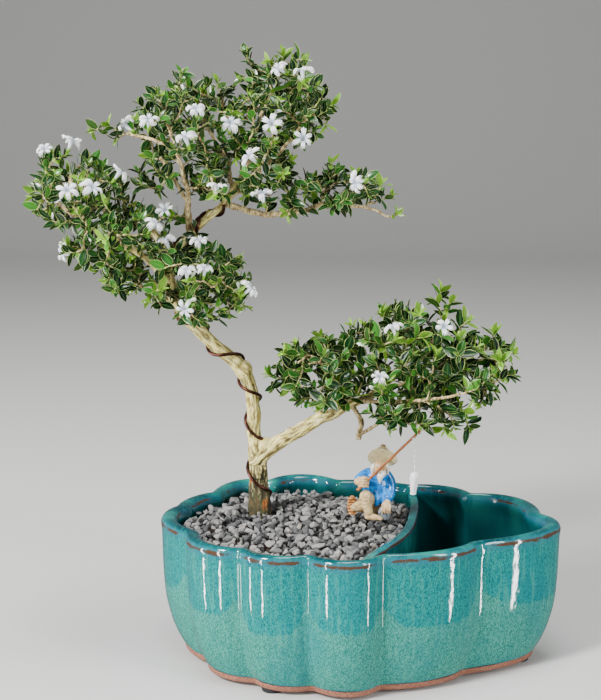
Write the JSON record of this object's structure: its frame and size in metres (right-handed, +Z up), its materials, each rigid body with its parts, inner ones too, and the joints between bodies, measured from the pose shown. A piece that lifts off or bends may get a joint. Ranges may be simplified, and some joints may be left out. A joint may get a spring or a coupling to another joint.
{
  "type": "serissa bonsai",
  "caption": "Flowering serissa bonsai with wired trunk in a lobed turquoise pot with a land side and a water basin, and a clay fisherman on its gravel.",
  "frame": {"origin": "middle of the base, between the rubber feet, at the surface the pot stands on", "axes": "+Z up, -Y towards the pot's front, +X towards the water basin"},
  "size_m": [0.3848, 0.2172, 0.4312],
  "materials": {
    "glaze": "gloss turquoise glaze over a brown stoneware body",
    "rubber": "matte",
    "soil": "loose baked-clay and bark soil",
    "gravel": "rough crushed stone",
    "bark": "fine flaky bark",
    "wire": "copper-brown anodised",
    "leaf": "satin leaf on thin woody twigs",
    "petal": "soft matte",
    "clay_glaze": "glazed and bare clay",
    "bamboo": "satin",
    "string": "twisted",
    "fish_glaze": "gloss"
  },
  "bodies": {
    "root": {"pot": "glaze", "foot_pad_1": "rubber", "foot_pad_2": "rubber", "foot_pad_3": "rubber", "foot_pad_4": "rubber", "soil": "soil", "gravel": "gravel", "trunk": "bark", "training_wire": "wire", "spray_left_front": "leaf", "spray_left_back": "leaf", "spray_left_low_front": "leaf", "spray_left_low_back": "leaf", "spray_upright": "leaf", "spray_crown": "leaf", "spray_crown_right": "leaf", "spray_crown_back": "leaf", "spray_side": "leaf", "spray_right_end": "leaf", "spray_right_inner": "leaf", "spray_right_back": "leaf", "spray_right_front": "leaf", "bloom_01": "petal", "bloom_02": "petal", "bloom_03": "petal", "bloom_04": "petal", "bloom_05": "petal", "bloom_06": "petal", "bloom_07": "petal", "bloom_08": "petal", "bloom_09": "petal", "bloom_10": "petal", "bloom_11": "petal", "bloom_12": "petal", "bloom_13": "petal", "bloom_14": "petal", "bloom_15": "petal", "bloom_16": "petal", "bloom_17": "petal", "bloom_18": "petal", "bloom_19": "petal", "bloom_20": "petal", "bloom_21": "petal", "bloom_22": "petal", "bloom_23": "petal", "bloom_24": "petal", "bloom_25": "petal", "bloom_26": "petal", "bloom_27": "petal", "bloom_28": "petal", "bloom_29": "petal", "bloom_30": "petal", "bloom_31": "petal", "bloom_32": "petal", "bloom_33": "petal", "fisherman": "clay_glaze", "rod": "bamboo", "line": "string", "fish": "fish_glaze"}
  },
  "joints": []
}
